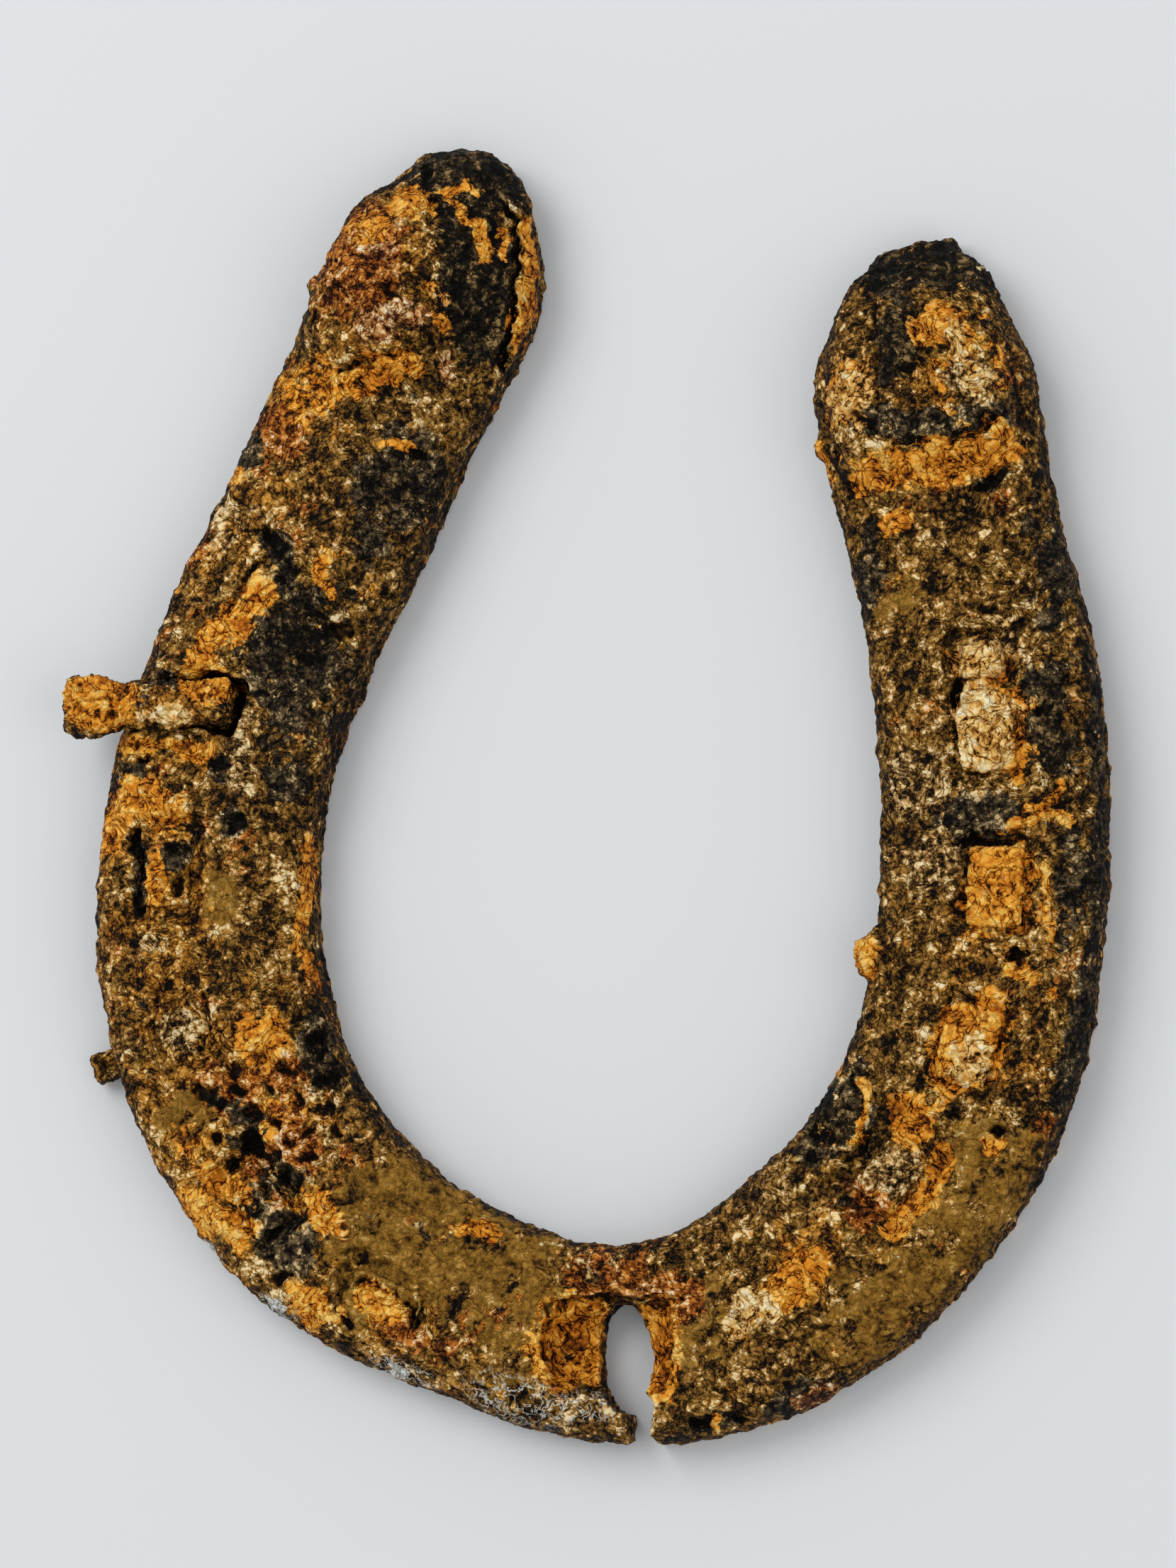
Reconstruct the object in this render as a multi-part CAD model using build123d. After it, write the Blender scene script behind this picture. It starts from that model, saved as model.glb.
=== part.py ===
from build123d import *
import math
import os

# A worn, rusted horseshoe that lies flat with its ground side up.
# The shoe is one forged bar, bent round the toe. It has a calkin (a raised block) at each heel,
# ten stamped nail holes, and a toe hole whose outer lip has cracked through.
# Each nail still rusted into its hole is a solid of its own.
# Millimetres. +Z is up, +Y points from the toe to the heels, and the hoof side lies on Z = 0.
# The origin is the centre of the shoe's footprint.

# Overall sizes of the forged bar
shoe_length = 144.0  # toe to the middle of the long heel's tip
shoe_width = 113.0  # across the widest part of the branches
bar_height = 10.0  # hoof side to the crown of the ground side
toe_height = 9.2

# Web: the bar's breadth in plan
toe_web = 21.8
toe_shoulder_web = 20.8
quarter_web = 24.8
heel_web = 23.6
heel_end_web = 14.6
heel_tip_web = 9.5
heel_end_height = 8.0
heel_tip_height = 6.0

# Section of the bar
crown = 1.3  # rise of the ground side between its shoulders
shoulder_radius = 4.2
foot_radius = 2.4
base_trim = 1.0  # forged this far below Z = 0, then ground off flat

# Calkins
calkin_root = 2.0  # level at which a calkin starts, inside the bar
block_height = bar_height + 3.4  # the square block on the short heel
block_web = 20.5
block_length = 28.5  # heel tip to the foot of its step
block_step = 5.5  # slope that drops from it to the bar
lump_height = bar_height + 3.8  # the domed lump on the long heel
lump_web = 17.0
lump_length = 30.0
lump_step = 4.5
lump_offset = 2.6  # towards the outer edge
step_foot = 1.2  # the foot of a step lies this far below the crown

# Nails, alike apart from their wear
head_length = 10.2  # along the bar
head_width = 7.2
neck_length = 4.6
neck_width = 3.0
neck_level = 3.4  # bottom of the head's taper
seat_level = bar_height - 3.6  # the head bears on its hole up to here, and stands free above
shank_end = 0.4  # the cut shanks stop this far above the hoof plane
shank_clearance = 0.25
wide_margin = 2.6  # rust-eaten gap beside a head at the surface, where it is deepest
middle_margin = 1.2
close_margin = 0.7
head_corner = 0.8

# Where the nails are: name, distance from the toe along the centre line (positive towards the
# short heel), offset towards the outer edge, depth of the head's top below the crown, and margin
seated_nails = [
    ("left_nail_2", -78.5, 3.6, 0.6, middle_margin),
    ("left_nail_4", -42.4, 4.2, 1.6, middle_margin),
    ("left_nail_5", -25.4, 4.2, 0.8, middle_margin),
    ("right_nail_2", 70.1, 1.0, 0.3, middle_margin),
    ("right_nail_3", 52.8, 0.7, 0.4, close_margin),
    ("right_nail_4", 36.9, -0.6, 1.4, wide_margin),
    ("right_nail_5", 18.5, 0.8, 0.4, close_margin),
]
split_nail_at = (87.0, 0.2, 0.2)
chip_shift = 7.9  # centre of the split nail's broken end, from the centre of its head
chip_length = 4.6
chip_width = 5.6
chip_seat = bar_height - 3.2  # level that the broken end rests on
chip_top = bar_height - 0.6
clenched_nail_at = (-61.9, 3.4, 0.5)
bent_nail_at = (-97.0, 1.2)

# The clenched nail's tail runs out under the bar in a groove
tail_width = 3.4
tail_thickness = 2.6
tail_turn = 5.0  # degrees from square across the bar
tail_overhang = 3.4  # it ends this far outside the bar's edge

# The bent nail was drawn and knocked flat across the ground side, head outwards, and rust has
# closed its open hole down to a narrow pit
open_pit_length = 6.4
open_pit_width = 6.0
grip_depth = 1.6  # below the pit, rust grips the shank over this depth
bent_turn = 17.0  # degrees from square across the bar
bent_length = 17.6  # centre of the hole to the head's face
bent_root_width = 5.0
bent_root_thickness = 3.4
bent_head_width = 6.6
bent_head_thickness = 5.0
bent_root_level = bar_height - 0.4  # centre of the shank over the hole
bent_head_level = bar_height - 2.6  # centre of the head beyond the edge
bent_sag = 0.9  # the shank drops this far by the bar's shoulder
furrow_clearance = 0.3

# Toe hole and the crack through its lip
toe_hole_width = 4.8  # across, at the hoof side
toe_hole_length = 9.4  # from the inner edge towards the outer one
toe_hole_offset = 1.2  # from the middle of the flare, towards the short branch
toe_flare_width = 14.2  # across, at the ground side
toe_flare_length = 10.8
toe_flare_offset = -0.6  # from the middle of the toe, towards the short branch
toe_bridge = 6.0  # web left between the hole and the inner edge
crack_width = 2.2
crack_offset = 2.7  # from the middle of the flare

over_crown = bar_height + crown  # tools that cut the ground side start here
beyond = 20.0  # tools that cut right through start this far away

# One row per station round the bar, from the long heel to the short one:
# share of the half width, share of the length from toe to long heel, web, height
stations = [
    (-0.352, 1.000, heel_tip_web, heel_tip_height),
    (-0.362, 0.972, heel_end_web, heel_end_height),
    (-0.400, 0.910, heel_web, bar_height),
    (-0.520, 0.818, heel_web, bar_height),
    (-0.655, 0.721, heel_web, bar_height),
    (-0.865, 0.579, heel_web, bar_height),
    (-0.998, 0.407, quarter_web, bar_height),
    (-0.930, 0.235, quarter_web, bar_height),
    (-0.670, 0.105, heel_web, bar_height),
    (-0.295, 0.031, toe_shoulder_web, toe_height),
    (0.065, 0.000, toe_web, toe_height),
    (0.350, 0.019, heel_web, toe_height),
    (0.645, 0.084, quarter_web, bar_height),
    (0.896, 0.202, quarter_web, bar_height),
    (1.000, 0.400, quarter_web, bar_height),
    (0.985, 0.527, quarter_web, bar_height),
    (0.878, 0.698, heel_web, bar_height),
    (0.828, 0.803, heel_web, bar_height),
    (0.815, 0.872, heel_end_web, heel_end_height),
    (0.800, 0.905, heel_tip_web, heel_tip_height),
]
toe_station = 10

half_across = (shoe_width - quarter_web) / 2
toe_line = -shoe_length / 2 + toe_web / 2
reach = shoe_length - toe_web / 2
points = [(u * half_across, toe_line + v * reach) for u, v, _, _ in stations]
centre_line = Spline(*points)
toe_distance = centre_line.length * centre_line.param_at_point(Vector(*points[toe_station]))


def plane_at(distance):
    """Cross-section plane at a distance along the centre line: X outwards, Y up."""
    at = centre_line.position_at(distance, position_mode=PositionMode.LENGTH)
    way = centre_line.tangent_at(distance, position_mode=PositionMode.LENGTH)
    return Plane(at, x_dir=(way.Y, -way.X, 0), z_dir=(-way.X, -way.Y, 0))


def place_at(distance, offset=0.0, turn=0.0):
    """Frame on the hoof plane beside the centre line: X outwards, Y on towards the short heel."""
    plane = plane_at(distance)
    angle = math.degrees(math.atan2(plane.x_dir.Y, plane.x_dir.X))
    return Location(plane.origin + plane.x_dir * offset, (0, 0, angle + turn))


def bar_section(web, height, bottom):
    """Closed section: flat base, rounded feet, upright sides, soft shoulders and a crown."""
    half = web / 2
    depth = height - bottom
    rise = crown * web / quarter_web
    shoulder = min(shoulder_radius, 0.4 * web, 0.45 * depth)
    foot = min(foot_radius, 0.25 * web, 0.3 * depth)
    side_top = height - rise - shoulder
    bend = math.sqrt(0.5)
    outline = Line((foot - half, bottom), (half - foot, bottom))
    for side in (1, -1):
        feet = [(side * (half - foot), bottom), (side * half, bottom + foot)]
        middle = (side * (half - foot + foot * bend), bottom + foot - foot * bend)
        outline += ThreePointArc(feet[0], middle, feet[1])
        outline += Line(feet[1], (side * half, side_top))
        middle = (side * (half - shoulder + shoulder * bend), side_top + shoulder * bend)
        top = (side * (half - shoulder), height - rise)
        outline += ThreePointArc((side * half, side_top), middle, top)
    outline += ThreePointArc((shoulder - half, height - rise), (0, height), (half - shoulder, height - rise))
    return make_face(outline)


def rectangle_at(length, width, level):
    """Rectangle at a level, its width outwards and its length along the bar."""
    return Pos(0, 0, level) * Rectangle(width, length)


def tapered(low, high, top=None):
    """Solid between two rectangles, each given as length, width and level, or on up to a top."""
    if top is not None:
        share = (top - low[2]) / (high[2] - low[2])
        high = [start + share * (end - start) for start, end in zip(low, high)]
    return loft([rectangle_at(*low), rectangle_at(*high)])


def upright(length, width, bottom, top):
    """Upright block of that plan between two levels."""
    return Pos(0, 0, (bottom + top) / 2) * Box(width, length, top - bottom)


def calkin(tip, inward, rows):
    """Block lofted along a heel. A row is distance from the tip, offset outwards, web and height."""
    sections = [
        plane_at(tip + inward * distance) * Pos(offset, 0) * bar_section(web, height, calkin_root)
        for distance, offset, web, height in rows
    ]
    return loft(sections[:-1]) + loft(sections[-2:], ruled=True)


def head_size(level):
    """Length and width of a nail head at a level on its taper, which runs on past its top."""
    share = (level - neck_level) / (bar_height - neck_level)
    length = neck_length + share * (head_length - neck_length)
    width = neck_width + share * (head_width - neck_width)
    return length, width, level


def nail(top):
    """A nail cut off at the hoof side, its head ending at a level."""
    shank = upright(neck_length, neck_width, shank_end, neck_level)
    head = tapered(head_size(neck_level), head_size(top))
    corners = head.edges().group_by(Axis.Z)[-1]
    return shank + fillet(corners, head_corner)


def shank_slot(top=neck_level):
    """The stamped slot for a nail's shank, through to the hoof side."""
    return upright(neck_length + 2 * shank_clearance, neck_width + 2 * shank_clearance, -beyond, top)


def nail_hole(margin):
    """What a nail's hole takes from the bar: shank slot, the head's seat and the crater round it."""
    seat = tapered(head_size(neck_level), head_size(over_crown))
    rim_length, rim_width, _ = head_size(bar_height)
    mouth = (rim_length + 2 * margin, rim_width + 2 * margin, bar_height)
    crater = tapered(head_size(seat_level), mouth, over_crown)
    return shank_slot() + seat + crater


def make_bar():
    """The forged bar before it was stamped, flat on its hoof side."""
    sections = []
    for (_, _, web, height), (x, y) in zip(stations, points):
        distance = centre_line.length * centre_line.param_at_point(Vector(x, y))
        sections.append(plane_at(distance) * bar_section(web, height, -base_trim))
    bar = loft(sections)
    return bar - upright(2 * shoe_length, 2 * shoe_width, -beyond, 0)


def short_heel_block():
    """The square calkin on the short heel."""
    top, foot = block_height, bar_height - step_foot
    rows = [
        (1.5, 0, 0.45 * block_web, heel_tip_height + 0.5),
        (7.0, 0, 0.85 * block_web, 0.80 * top),
        (14.0, 0, block_web, 0.97 * top),
        (block_length - block_step, 0, block_web, top),
        (block_length, 0, block_web, foot),
    ]
    return calkin(centre_line.length, -1, rows)


def long_heel_lump():
    """The domed calkin on the outer half of the long heel."""
    top, foot = lump_height, bar_height - step_foot
    rows = [
        (3.5, 0.3 * lump_offset, 0.55 * lump_web, heel_end_height),
        (9.0, 0.7 * lump_offset, 0.9 * lump_web, 0.9 * top),
        (17.0, lump_offset, lump_web, top),
        (lump_length - lump_step, lump_offset, 0.95 * lump_web, 0.93 * top),
        (lump_length, lump_offset, 0.9 * lump_web, foot),
    ]
    return calkin(0.0, 1, rows)


def toe_hole():
    """The flared hole at the toe, with the crack through its outer lip."""
    start = toe_line + toe_web / 2 - toe_bridge
    x, _ = points[toe_station]
    floor = (toe_hole_length, toe_hole_width, 0)
    mouth = (toe_flare_length, toe_flare_width, toe_height)
    hole = Pos(toe_hole_offset, 0) * upright(toe_hole_length, toe_hole_width, -beyond, beyond)
    crack = Pos(crack_offset, -toe_web / 2) * upright(toe_web, crack_width, -beyond, beyond)
    cuts = tapered(floor, mouth, over_crown) + hole + crack
    return Pos(x + toe_flare_offset, start - toe_flare_length / 2) * cuts


def bent_bar(clearance):
    """The part of the bent nail that lies across the bar, or its furrow."""
    outward = Plane((0, 0, 0), x_dir=(0, 1, 0), z_dir=(1, 0, 0))
    rows = [
        (-bent_root_thickness / 2 - clearance, bent_root_width, bent_root_thickness, bent_root_level),
        (0.6 * bent_length, bent_root_width, bent_root_thickness, bent_root_level - bent_sag),
        (bent_length + clearance, bent_head_width, bent_head_thickness, bent_head_level),
    ]
    return loft([
        outward.offset(out) * Pos(0, level) * Rectangle(width + 2 * clearance, thickness + 2 * clearance)
        for out, width, thickness, level in rows
    ])


def chip_pocket():
    """The crater's extension that the split nail's broken end lies in."""
    length, width = chip_length + middle_margin, chip_width + middle_margin
    mouth = (length + middle_margin, width + middle_margin, bar_height)
    return Pos(0, chip_shift, 0) * tapered((length, width, chip_seat), mouth, over_crown)


def chip():
    """The broken end of the split nail's head."""
    base = (chip_length, chip_width, chip_seat)
    top = (0.8 * chip_length, 0.8 * chip_width, chip_top)
    block = tapered(base, top)
    return Pos(0, chip_shift, 0) * fillet(block.edges().group_by(Axis.Z)[-1], head_corner)


def tail(clearance):
    """The clenched nail's tail under the bar, or the groove it lies in."""
    length = quarter_web / 2 - clenched_nail_at[1] + tail_overhang + neck_width / 2
    top = shank_end + tail_thickness + clearance
    bottom = -beyond if clearance else shank_end
    block = upright(tail_width + 2 * clearance, length + 2 * clearance, bottom, top)
    return Rot(0, 0, tail_turn) * Pos((length - neck_width) / 2, 0, 0) * block


def drive(name, solid, where, hole):
    """Cuts a nail's hole in the shoe and keeps the nail as a part."""
    global shoe
    shoe -= where * hole
    parts[name] = where * solid


shoe = make_bar() + short_heel_block() + long_heel_lump()
shoe -= toe_hole()
parts = {}

for name, distance, offset, depth, margin in seated_nails:
    where = place_at(toe_distance + distance, offset)
    drive(name, nail(bar_height - depth), where, nail_hole(margin))

distance, offset, depth = split_nail_at
where = place_at(toe_distance + distance, offset)
drive("right_nail_1", nail(bar_height - depth), where, nail_hole(middle_margin) + chip_pocket())
parts["right_nail_1_chip"] = where * chip()

distance, offset, depth = clenched_nail_at
where = place_at(toe_distance + distance, offset)
hole = nail_hole(close_margin) + tail(shank_clearance)
drive("left_nail_3", nail(bar_height - depth) + tail(0), where, hole)

distance, offset = bent_nail_at
where = place_at(toe_distance + distance, offset)
shank = upright(neck_length, neck_width, shank_end, bent_root_level)
bent = Rot(0, 0, bent_turn) * bent_bar(0)
furrow = Rot(0, 0, bent_turn) * bent_bar(furrow_clearance)
pit = upright(open_pit_length, open_pit_width, neck_level, beyond)
grip = upright(neck_length, neck_width, -beyond, seat_level)
drive("left_nail_1", shank + bent, where, shank_slot(neck_level - grip_depth) + grip + pit + furrow)

# The middle of the whole footprint, bent nail and clenched tail included, becomes the origin
parts["shoe"] = shoe
footprint = Compound(list(parts.values())).bounding_box()
home = Pos(-footprint.center().X, -footprint.center().Y, 0)
os.makedirs("parts", exist_ok=True)
for name, solid in parts.items():
    export_step(home * solid, f"parts/{name}.step")
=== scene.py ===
"""A worn, rusted horseshoe lying ground side up, with its old nails still rusted into it."""

import math

import bpy
import numpy as np
from mathutils import Matrix, Vector, noise


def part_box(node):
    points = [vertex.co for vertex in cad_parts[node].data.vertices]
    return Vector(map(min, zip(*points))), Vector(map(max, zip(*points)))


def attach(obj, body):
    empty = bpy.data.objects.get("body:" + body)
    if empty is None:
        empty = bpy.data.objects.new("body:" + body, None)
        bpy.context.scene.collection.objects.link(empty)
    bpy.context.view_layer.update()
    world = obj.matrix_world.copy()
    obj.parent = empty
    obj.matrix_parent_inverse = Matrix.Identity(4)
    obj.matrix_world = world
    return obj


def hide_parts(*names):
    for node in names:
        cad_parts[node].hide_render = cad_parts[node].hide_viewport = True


bl_info = {
    "name": "Rusted horseshoe",
    "version": (1, 0, 0),
    "blender": (4, 5, 0),
    "location": "View3D > Sidebar > Horseshoe",
    "description": "Corroded forged shoe, its nails, rust crumbs and lint, on a pale table",
    "category": "Object",
}

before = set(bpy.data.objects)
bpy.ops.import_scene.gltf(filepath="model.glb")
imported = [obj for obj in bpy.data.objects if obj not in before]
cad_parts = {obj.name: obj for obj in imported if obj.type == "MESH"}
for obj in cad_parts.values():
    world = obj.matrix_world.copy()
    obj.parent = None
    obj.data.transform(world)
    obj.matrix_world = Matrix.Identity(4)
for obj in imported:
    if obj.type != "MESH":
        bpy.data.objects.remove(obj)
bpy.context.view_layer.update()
SHOE_LOW, SHOE_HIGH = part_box("shoe")
MIDDLE = (SHOE_LOW + SHOE_HIGH) / 2
MM = 0.001
MERGE = 1e-6
PACKING_FLOOR = 3 * MM
LOOKING_FROM = (0.20, -0.14, 0.97)
NAIL_ROUNDING = 9  # rounds of softening
NAIL_WEAR = 0.8  # share of the bar's swellings and crumbs
BENT_NAIL_WEAR = 1.5
NAIL_PAINT = 1.5  # how much harder the edges of colour are than on the bar

# How far the scale has closed in on each nail, and how far below its head it stops
PACKING = {
    "left_nail_2": (0.9, 0.9), "left_nail_3": (1.4, 0.5),
    "left_nail_4": (0.9, 1.1), "left_nail_5": (1.0, 0.8),
    "right_nail_1": (1.3, 1.1), "right_nail_1_chip": (1.8, 1.0), "right_nail_2": (0.8, 1.2),
    "right_nail_3": (1.1, 1.0), "right_nail_4": (2.2, 0.8), "right_nail_5": (1.6, 0.7),
}

# ---------------------------------------------------------------------------------------------
# Where the rust differs, and where highlights are painted on as glints. Places are millimetres
# from the middle of the shoe, +X towards the short branch and +Y towards the heels. A spot is x, y,
# half width, half length and turn in degrees; a streak is a width and the points that it passes through.

SPOTS = {
    "tan": [
        (-48.0, -12.0, 8.0, 26.0, 0, 0.75), (-40.0, -36.0, 12.0, 15.0, 0, 0.85),
        (-38.0, 36.0, 8.0, 14.0, -20, 0.65),
        (-25.0, 56.0, 8.0, 9.0, -30, 0.7), (-22.0, -56.0, 14.0, 6.0, -25, 0.65),
        (46.0, -24.0, 8.0, 22.0, 0, 0.45),
        (32.0, -48.0, 12.0, 8.0, 40, 0.5), (37.0, 40.0, 9.0, 8.0, 0, 0.5),
    ],
    "ochre": [
        (-19.5, 65.2, 2.3, 2.3, 0), (-26.3, 62.9, 3.4, 1.2, 32), (-15.8, 51.1, 0.8, 0.8, 0),
        (-40.6, 35.6, 1.2, 0.9, 0), (-37.2, 22.2, 1.8, 2.2, 30), (-50.5, -0.8, 3.4, 2.2, 0),
        (-54.0, -4.4, 1.5, 2.6, 0), (-47.5, -1.9, 2.8, 2.2, 0), (-48.6, -9.6, 1.1, 3.0, 0),
        (-31.7, -12.0, 1.1, 1.5, 0, 0.9), (-31.6, -19.8, 1.2, 1.3, 0, 0.9),
        (-36.2, -27.4, 2.8, 3.2, 20, 0.8), (-47.0, 30.0, 4.0, 8.0, -20, 0.45),
        (-33.0, 44.0, 4.0, 5.0, 0, 0.45),
        (-34.4, -33.0, 2.6, 4.0, 10, 0.6), (-41.0, -43.2, 3.0, 1.5, -25), (-31.0, -57.0, 2.9, 2.1, -20),
        (-23.0, -56.8, 2.4, 1.6, -30), (-28.6, -47.7, 1.6, 1.4, 0), (-12.0, -49.0, 2.4, 1.2, -20),
        (-2.0, -61.6, 4.2, 5.2, 0), (7.6, -62.0, 2.4, 5.4, 0), (13.9, -70.6, 0.6, 0.9, 0),
        (24.5, -53.5, 1.9, 1.8, 0), (22.0, -56.2, 2.8, 1.8, 30), (35.6, -37.8, 2.4, 2.7, 0),
        (45.0, -40.8, 1.1, 0.8, 0), (42.0, -30.0, 3.6, 5.4, -18), (47.5, -22.4, 2.1, 1.2, 0),
        (51.4, -24.5, 0.7, 0.8, 0), (29.6, -20.0, 1.8, 2.7, 0), (45.5, -13.2, 3.7, 4.9, -5),
        (47.0, 2.5, 1.3, 4.0, 0), (34.3, 27.4, 1.7, 1.5, 0), (39.4, 48.4, 2.4, 2.2, 0),
        (46.0, 43.6, 1.0, 2.4, 0), (-55.0, 10.4, 4.0, 3.2, 0), (44.2, 4.3, 4.0, 5.6, 0, 0.9),
        (43.3, 12.0, 3.1, 2.5, 0, 0.7), (29.6, 41.2, 3.0, 5.2, 0, 0.7), (42.4, 44.6, 3.0, 5.0, 0, 0.7),
        (-43.0, 13.6, 1.9, 1.7, 0, 0.9), (-24.0, 61.4, 2.8, 2.2, 30, 0.9),
        (-35.2, -38.4, 1.0, 2.4, 0, 0.7),
        (-44.5, -39.5, 2.6, 2.4, 0, 0.6), (-31.4, -45.4, 2.4, 1.8, 0, 0.6),
        (-29.4, 60.4, 1.4, 2.6, -30, 0.7),
    ],
    "pale": [
        (36.5, -1.5, 3.2, 3.8, 0), (38.3, -10.0, 3.2, 3.2, 0), (43.0, 42.6, 2.4, 2.6, 0),
        (1.0, -53.4, 4.2, 2.3, 0, 0.5), (-38.8, 2.8, 1.8, 3.4, 0, 0.8),
        (-45.8, -26.6, 2.6, 3.0, 0, 0.62),
        (-49.0, -17.0, 2.4, 1.3, 0, 0.6), (-40.5, 31.0, 3.0, 3.0, 0, 0.6),
        (33.4, -43.6, 2.8, 2.8, 40, 0.9),
        (46.0, 14.0, 2.5, 2.0, 0, 0.5), (8.0, -47.0, 6.0, 3.0, 30, 0.45),
        (20.0, -45.0, 5.0, 3.0, 40, 0.45),
    ],
    "cream": [
        (43.8, 4.6, 3.4, 5.2, 0, 0.95), (43.3, 12.0, 2.9, 2.3, 0, 0.85),
        (42.3, -31.8, 2.0, 2.8, -18, 1.0),
        (29.6, 41.2, 2.6, 4.8, 0, 0.75), (41.6, 46.4, 1.6, 2.8, 0, 0.75),
        (43.6, 42.4, 1.8, 2.0, 0, 0.75),
        (18.0, -58.5, 2.6, 1.8, 30, 0.9), (-46.4, 8.3, 2.2, 1.0, 0, 0.85),
    ],
    "sienna": [
        (-25.0, 58.5, 6.0, 6.0, -60), (-34.5, 40.6, 4.0, 3.0, 20), (1.0, -53.4, 4.6, 2.6, 0),
        (-29.2, 0.0, 1.0, 5.0, 0), (-34.6, -37.0, 6.4, 8.4, 20, 0.85), (-21.0, -59.5, 3.0, 1.6, -30),
        (9.5, -57.0, 3.4, 2.6, 0), (30.5, -48.0, 2.4, 1.6, 40), (-47.0, 29.0, 3.0, 5.0, -20),
    ],
    "dark": [
        # The second spot darkens the steep inner slope of the long branch's heel.
        (-14.0, 68.2, 5.6, 4.4, 0), (-12.2, 56.0, 3.4, 9.0, 0), (-38.8, 38.2, 2.0, 2.0, 0),
        (-21.0, 34.5, 5.0, 5.0, -20), (-34.4, 26.0, 1.4, 3.4, 20), (-33.5, 14.0, 5.6, 8.4, -20, 0.95),
        (-50.6, 10.6, 1.4, 1.3, 0), (-52.8, 1.2, 2.1, 2.8, 0), (-41.4, 2.6, 1.4, 1.5, 0),
        (-39.7, -3.7, 1.5, 1.6, 0), (-34.0, 1.0, 2.4, 2.4, 0), (-46.2, -7.2, 1.5, 1.6, 0),
        (-33.5, -50.0, 3.4, 3.0, -30), (50.8, 6.0, 3.2, 7.6, 0, 0.8), (43.2, -5.4, 4.4, 2.8, 0),
        (28.0, -36.0, 4.6, 4.2, -30, 0.8), (24.8, -40.0, 2.8, 2.4, 0), (23.8, -68.0, 4.0, 2.0, 25),
        (13.5, -70.0, 2.8, 1.0, 0), (38.0, 56.2, 8.4, 4.0, 0), (35.0, 46.5, 2.4, 4.6, 0),
        (45.0, 31.6, 2.3, 1.2, 20), (51.5, 22.0, 3.0, 9.0, 5, 0.7), (-30.4, -29.4, 1.9, 3.6, 15),
        (-38.0, -45.9, 2.4, 2.0, 0, 0.8), (-33.0, -42.6, 2.8, 2.2, 0, 0.8),
        (-37.6, -37.6, 2.8, 3.4, 30, 0.7),
        (53.0, -12.0, 2.4, 9.0, 0, 0.7), (31.0, 22.0, 1.4, 6.0, -8), (-24.5, 27.6, 2.0, 2.6, 0),
    ],
    "clay": [
        (-19.0, -48.0, 9.5, 12.0, -40, 0.85), (-8.5, -56.0, 6.0, 9.0, 0, 0.85),
        (-46.0, -36.5, 4.4, 5.6, 0, 0.5),
        (44.0, -46.0, 6.0, 10.0, -30, 0.75), (34.0, -58.0, 9.0, 6.0, 25, 0.75),
        (34.0, 17.0, 3.0, 7.0, 0, 0.48),
        (-40.0, -15.0, 4.0, 8.0, 0, 0.45), (-51.0, 18.5, 2.4, 4.0, -25, 0.6),
        (12.0, -60.0, 5.0, 6.0, 30, 0.5),
    ],
    "black": [
        # The second spot makes the steep inner slope of the long branch's heel near black.
        (-13.4, 67.6, 5.6, 4.6, 0), (-12.4, 56.2, 3.4, 8.6, 0), (37.6, 56.6, 8.6, 3.6, 0),
        (35.2, 46.8, 2.2, 4.0, 0),
        (24.2, -67.8, 3.4, 1.4, 25), (13.2, -70.0, 2.4, 0.9, 0), (-22.0, 33.0, 2.4, 2.0, 0),
        (-31.5, 17.5, 2.6, 3.4, 0),
        (51.0, 4.0, 1.6, 4.5, 0), (27.0, -37.5, 3.0, 2.4, -30), (-30.6, -30.0, 1.3, 2.6, 15, 0.9),
        (-34.8, -41.6, 2.0, 1.0, -35, 0.9),
        (-38.4, -46.2, 1.4, 1.2, 0), (-41.5, -34.0, 1.6, 1.2, -20, 0.8),
        (-37.2, -39.4, 1.5, 1.1, -30, 0.9),
        (-28.5, -31.5, 1.6, 3.6, 20, 0.7),
    ],
    # Painted highlights: pale pinkish glints on the long branch's heel, and one by the toe.
    "painted_glint": [
        (-21.6, 51.4, 4.6, 2.1, 15, 0.9), (-22.8, 59.4, 2.6, 0.9, 5, 0.9),
        (-15.6, 46.6, 1.2, 2.2, -20, 0.8),
        (24.5, -67.6, 2.8, 1.1, 25),
    ],
    "lint": [
        (-8.0, -67.4, 6.0, 2.4, -18, 1.0), (-0.6, -68.4, 4.0, 1.6, -8, 1.0),
        (-43.4, -50.4, 2.6, 1.0, -45, 1.0),
        (-35.0, -57.0, 2.6, 1.2, -30, 1.0), (-21.0, -64.0, 3.6, 1.2, -20, 1.0),
    ],
    "white": [
        (-43.2, -50.5, 1.0, 0.6, -45), (-35.2, -56.6, 1.3, 0.9, -30), (-21.4, -64.0, 1.6, 0.6, -20),
    ],
}

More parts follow.
